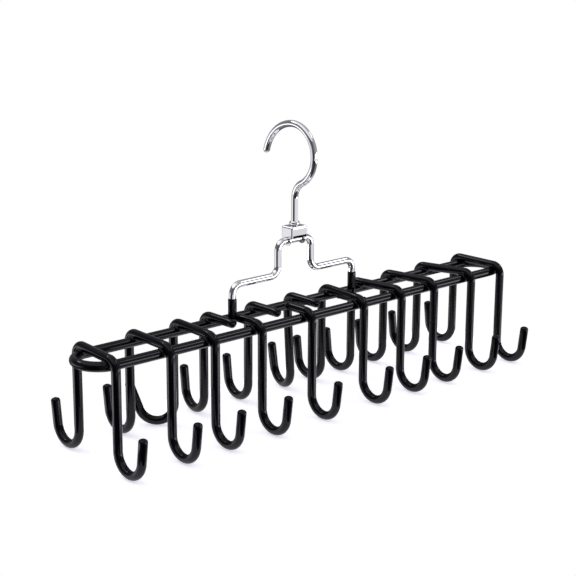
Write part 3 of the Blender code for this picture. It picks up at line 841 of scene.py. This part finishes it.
def make_floor():
    """A plain white floor just under the curls, which shows as the background's white but keeps soft shadows."""
    half_x = (cad_high[0] - cad_low[0]) / 2
    half_y = max(cad_high[1] - STEM_Y, STEM_Y - cad_low[1])
    outline = []
    for sign_x, sign_y, start in ((1, 1, 0), (-1, 1, 90), (-1, -1, 180), (1, -1, 270)):
        outline += arc((sign_x * half_x, sign_y * half_y), FLOOR_MARGIN, start, start + 90, FLOOR_STEPS)
    form = bmesh.new()
    form.faces.new([form.verts.new((x, y, 0.0)) for x, y in outline])
    floor = new_object("floor", form)
    floor.location = ((cad_low[0] + cad_high[0]) / 2, STEM_Y, cad_low[2] - FLOOR_CLEARANCE)
    material = bpy.data.materials.new("white_floor")
    material.use_nodes = True
    tree = material.node_tree
    tree.nodes.clear()
    output = tree.nodes.new("ShaderNodeOutputMaterial")
    plain = tree.nodes.new("ShaderNodeBsdfDiffuse")
    plain.inputs["Color"].default_value = (0.8, 0.8, 0.8, 1)
    shaded = tree.nodes.new("ShaderNodeBsdfDiffuse")
    shaded.inputs["Color"].default_value = (0.97, 0.97, 0.92, 1)
    glow = tree.nodes.new("ShaderNodeEmission")
    glow.inputs["Color"].default_value = (0.93, 0.92, 1.0, 1)
    glow.inputs["Strength"].default_value = 0.66
    both = tree.nodes.new("ShaderNodeAddShader")
    mix = tree.nodes.new("ShaderNodeMixShader")
    tree.links.new(shaded.outputs[0], both.inputs[0])
    tree.links.new(glow.outputs[0], both.inputs[1])
    tree.links.new(seen_by_eye(tree), mix.inputs[0])
    tree.links.new(plain.outputs[0], mix.inputs[1])
    tree.links.new(both.outputs[0], mix.inputs[2])
    tree.links.new(mix.outputs[0], output.inputs["Surface"])
    floor.data.materials.append(material)


# Brightness of the studio's bands: the height in degrees at which each begins, and stops of an angle in degrees,
# to the right of the camera as seen from the hanger, with the brightness there
STUDIO_BANDS = (
    (-90, ((-180, 0.08), (-130, 0.14), (-100, 0.24), (-60, 0.20), (-10, 0.03), (50, 0.03), (70, 0.22), (110, 0.24),
           (130, 0.14), (180, 0.08))),
    (-20.5, ((-180, 0.06), (-128, 0.08), (-108, 3.6), (-74, 4.0), (-64, 0.06), (-10, 0.02), (50, 0.02), (62, 2.2),
             (74, 4.0), (104, 3.6), (122, 0.08), (180, 0.06))),
    (-15.8, ((-180, 0.12), (-138, 0.14), (-128, 0.70), (-110, 0.85), (-64, 0.95), (-54, 0.03), (-8, 0.03), (4, 0.55),
             (30, 0.84), (80, 0.76), (120, 1.0), (136, 0.80), (150, 0.30), (180, 0.12))),
    (-10.0, ((-180, 0.20), (-130, 0.30), (-112, 0.75), (-60, 0.80), (-50, 0.04), (-4, 0.04), (30, 0.50), (56, 0.80),
             (63, 5.0), (108, 5.0), (116, 0.60), (135, 0.30), (180, 0.20))),
    (3, ((-180, 0.25), (-130, 0.25), (-115, 0.16), (-55, 0.16), (-10, 0.06), (20, 0.20), (60, 0.34), (112, 0.36),
         (130, 0.30), (180, 0.25))),
    (41, ((-180, 0.40), (-140, 0.50), (-133, 5.0), (-103, 5.0), (-95, 1.20), (-60, 1.10), (20, 1.00), (60, 0.45),
          (88, 0.40), (95, 5.0), (122, 5.0), (132, 0.45), (180, 0.40))),
    (48, ((-180, 0.50), (-120, 1.00), (0, 1.00), (70, 0.46), (180, 0.48))),
)
# Degrees over which one band passes into the next, and the brightness that the curves' full height stands for
BAND_BLEND = 1.2
BRIGHTEST = 5.5


def light_ramp(tree, stops, source):
    """Brightness of a band of the studio from the angle round it."""
    low, high = stops[0][0], stops[-1][0]
    span = tree.nodes.new("ShaderNodeMapRange")
    span.inputs["From Min"].default_value = low
    span.inputs["From Max"].default_value = high
    tree.links.new(source, span.inputs["Value"])
    curve = tree.nodes.new("ShaderNodeFloatCurve")
    line = curve.mapping.curves[0]
    while len(line.points) > 2:
        line.points.remove(line.points[1])
    line.points[0].location = (0.0, stops[0][1] / BRIGHTEST)
    line.points[1].location = (1.0, stops[-1][1] / BRIGHTEST)
    for angle, value in stops[1:-1]:
        line.points.new((angle - low) / (high - low), value / BRIGHTEST)
    for point in line.points:
        point.handle_type = "VECTOR"
    curve.mapping.update()
    tree.links.new(span.outputs["Result"], curve.inputs["Value"])
    return maths(tree, "MULTIPLY", curve.outputs["Value"], BRIGHTEST)


def make_studio():
    """A room of bright strips with a darker wall behind the camera for metal and gloss to show, and plain white for
    the camera itself."""
    world = bpy.data.worlds.new("studio")
    bpy.context.scene.world = world
    world.use_nodes = True
    tree = world.node_tree
    tree.nodes.clear()
    output = tree.nodes.new("ShaderNodeOutputWorld")
    place = tree.nodes.new("ShaderNodeTexCoord")
    turned = tree.nodes.new("ShaderNodeVectorRotate")
    turned.rotation_type = "Z_AXIS"
    turned.inputs["Angle"].default_value = math.radians(CAMERA_YAW)
    tree.links.new(place.outputs["Generated"], turned.inputs["Vector"])
    parts = tree.nodes.new("ShaderNodeSeparateXYZ")
    tree.links.new(turned.outputs[0], parts.inputs[0])
    backward = maths(tree, "MULTIPLY", parts.outputs["Y"], -1.0)
    azimuth = maths(tree, "MULTIPLY", maths(tree, "ARCTAN2", parts.outputs["X"], backward), math.degrees(1))
    height = maths(tree, "MULTIPLY", maths(tree, "ARCSINE", parts.outputs["Z"]), math.degrees(1))
    bright = None
    for start, stops in STUDIO_BANDS:
        band = light_ramp(tree, stops, azimuth)
        if bright is not None:
            blend = tree.nodes.new("ShaderNodeMapRange")
            blend.inputs["From Min"].default_value = start - BAND_BLEND / 2
            blend.inputs["From Max"].default_value = start + BAND_BLEND / 2
            tree.links.new(height, blend.inputs["Value"])
            mixed = tree.nodes.new("ShaderNodeMix")
            tree.links.new(blend.outputs["Result"], mixed.inputs[0])
            tree.links.new(bright, mixed.inputs[2])
            tree.links.new(band, mixed.inputs[3])
            band = mixed.outputs[0]
        bright = band
    room = tree.nodes.new("ShaderNodeBackground")
    tree.links.new(bright, room.inputs["Strength"])
    room.inputs["Color"].default_value = (1.0, 0.985, 1.06, 1)
    white = tree.nodes.new("ShaderNodeBackground")
    white.inputs["Color"].default_value = (1, 1, 1, 1)
    white.inputs["Strength"].default_value = 1.0
    path = tree.nodes.new("ShaderNodeLightPath")
    mix = tree.nodes.new("ShaderNodeMixShader")
    tree.links.new(path.outputs["Is Camera Ray"], mix.inputs[0])
    tree.links.new(room.outputs[0], mix.inputs[1])
    tree.links.new(white.outputs[0], mix.inputs[2])
    tree.links.new(mix.outputs[0], output.inputs["Surface"])


def make_camera():
    """The camera at the photograph's place."""
    yaw, pitch, roll = (math.radians(value) for value in (CAMERA_YAW, CAMERA_PITCH, CAMERA_ROLL))
    ahead = Vector((math.sin(yaw) * math.cos(pitch), math.cos(yaw) * math.cos(pitch), -math.sin(pitch)))
    right = ahead.cross(Vector((0, 0, 1))).normalized()
    up = right.cross(ahead)
    level = right * math.cos(roll) + up * math.sin(roll)
    upright = up * math.cos(roll) - right * math.sin(roll)
    camera = bpy.data.objects.new("camera", bpy.data.cameras.new("camera"))
    camera.data.lens = CAMERA_LENS
    camera.data.sensor_width = CAMERA_SENSOR
    camera.data.clip_start = CAMERA_NEAR
    turn = Matrix((level, upright, -ahead)).transposed().to_4x4()
    camera.matrix_world = Matrix.Translation(CAMERA_PLACE) @ turn
    bpy.context.collection.objects.link(camera)
    bpy.context.scene.camera = camera


make_floor()
make_studio()
make_camera()
bpy.context.scene.view_settings.view_transform = "Standard"
